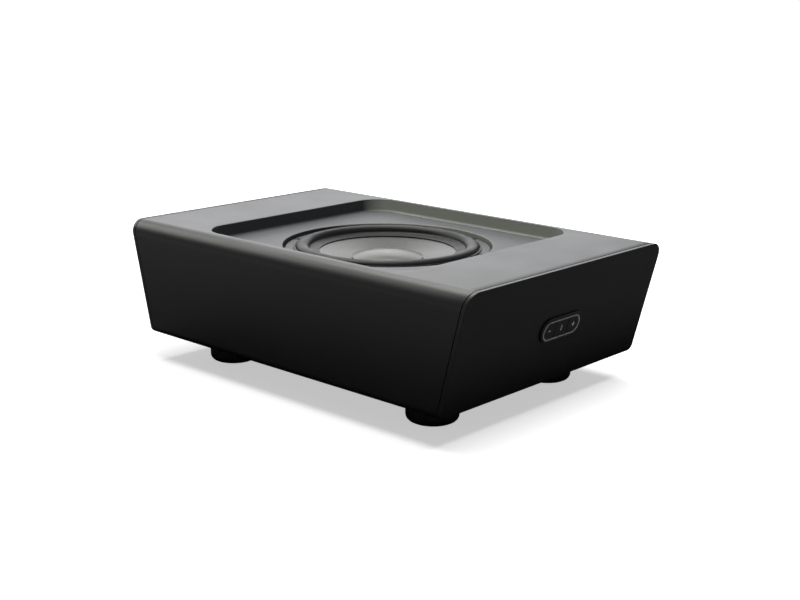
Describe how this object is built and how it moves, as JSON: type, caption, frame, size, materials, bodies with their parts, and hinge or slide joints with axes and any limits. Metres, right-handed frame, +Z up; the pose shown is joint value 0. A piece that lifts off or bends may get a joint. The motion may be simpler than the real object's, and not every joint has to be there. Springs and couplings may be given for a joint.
{
  "type": "subwoofer",
  "caption": "Low, wide powered subwoofer: rounded black cabinet with inward-leaning ends, an up-firing woofer in a recessed top, side keys and round rubber feet.",
  "frame": {"origin": "centre of the bounding box at floor level, under the middle of the cabinet", "axes": "+X along the cabinet's length towards the end with the keys, -Y towards the front, +Z up"},
  "size_m": [0.455, 0.296, 0.1443],
  "materials": {
    "cabinet_lacquer": "satin black lacquer over fibreboard",
    "fibreboard": "raw medium-density fibreboard",
    "closed_cell_foam": null,
    "moulded_abs": "black moulded ABS, fine satin texture",
    "light_guide": "translucent grey light guide",
    "key_silicone": "moulded silicone",
    "circuit_board": "solder-masked glass-fibre board",
    "foot_rubber": "moulded hard rubber",
    "plated_steel": "zinc-plated steel",
    "basket_steel": "black powder-coated steel",
    "screw_steel": "black zinc-plated steel",
    "surround_rubber": "butyl rubber",
    "cone_aluminium": "grey anodised, spun brushed aluminium",
    "coil_aluminium": "thin aluminium foil tube",
    "copper_winding": null,
    "spider_cloth": "phenolic-impregnated woven cloth",
    "ferrite": null,
    "plate_aluminium": "black anodised aluminium",
    "transformer_steel": "laminated steel core",
    "capacitor_sleeve": "shrink-sleeved can"
  },
  "bodies": {
    "cabinet_body": {"cabinet_sleeve": "cabinet_lacquer", "end_panel_left": "cabinet_lacquer", "end_panel_right": "cabinet_lacquer", "brace_left": "fibreboard", "brace_right": "fibreboard", "end_gasket_left": "closed_cell_foam", "end_gasket_right": "closed_cell_foam", "woofer_gasket": "closed_cell_foam", "control_bezel": "moulded_abs", "key_board_cover": "moulded_abs", "mains_inlet": "moulded_abs", "line_in_socket": "moulded_abs", "light_ring": "light_guide", "key_mat": "key_silicone", "key_board": "circuit_board", "amplifier_board": "circuit_board", "terminal_strip": "circuit_board", "foot_front_left": "foot_rubber", "foot_front_right": "foot_rubber", "foot_rear_left": "foot_rubber", "foot_rear_right": "foot_rubber", "foot_screw_front_left": "plated_steel", "foot_screw_front_right": "plated_steel", "foot_screw_rear_left": "plated_steel", "foot_screw_rear_right": "plated_steel", "woofer_basket": "basket_steel", "top_plate": "basket_steel", "back_plate": "basket_steel", "woofer_screw_1": "screw_steel", "woofer_screw_2": "screw_steel", "woofer_screw_3": "screw_steel", "woofer_screw_4": "screw_steel", "woofer_screw_5": "screw_steel", "woofer_screw_6": "screw_steel", "woofer_screw_7": "screw_steel", "woofer_screw_8": "screw_steel", "rear_screw_1": "screw_steel", "rear_screw_2": "screw_steel", "rear_screw_3": "screw_steel", "rear_screw_4": "screw_steel", "surround": "surround_rubber", "spider": "spider_cloth", "magnet": "ferrite", "rear_plate": "plate_aluminium", "heat_sink": "plate_aluminium", "transformer": "transformer_steel", "capacitor_1": "capacitor_sleeve", "capacitor_2": "capacitor_sleeve"},
    "cone_body": {"cone": "cone_aluminium", "dust_cap": "cone_aluminium", "voice_coil_former": "coil_aluminium", "voice_coil": "copper_winding"},
    "minus_key_body": {"minus_key": "moulded_abs"},
    "power_key_body": {"power_key": "moulded_abs"},
    "plus_key_body": {"plus_key": "moulded_abs"}
  },
  "joints": [
    {"name": "cone_excursion", "type": "slide", "parent": "cabinet_body", "child": "cone_body", "axis": [0, 0, 1], "range_m": [-0.006, 0.006], "stiffness_N_per_m": 3000, "deforming": ["surround", "spider"]},
    {"name": "minus_key_press", "type": "slide", "parent": "cabinet_body", "child": "minus_key_body", "axis": [-0.9694, 0, 0.2455], "range_m": [0, 0.0007], "stiffness_N_per_m": 2000},
    {"name": "power_key_press", "type": "slide", "parent": "cabinet_body", "child": "power_key_body", "axis": [-0.9694, 0, 0.2455], "range_m": [0, 0.0007], "stiffness_N_per_m": 2000},
    {"name": "plus_key_press", "type": "slide", "parent": "cabinet_body", "child": "plus_key_body", "axis": [-0.9694, 0, 0.2455], "range_m": [0, 0.0007], "stiffness_N_per_m": 2000}
  ]
}
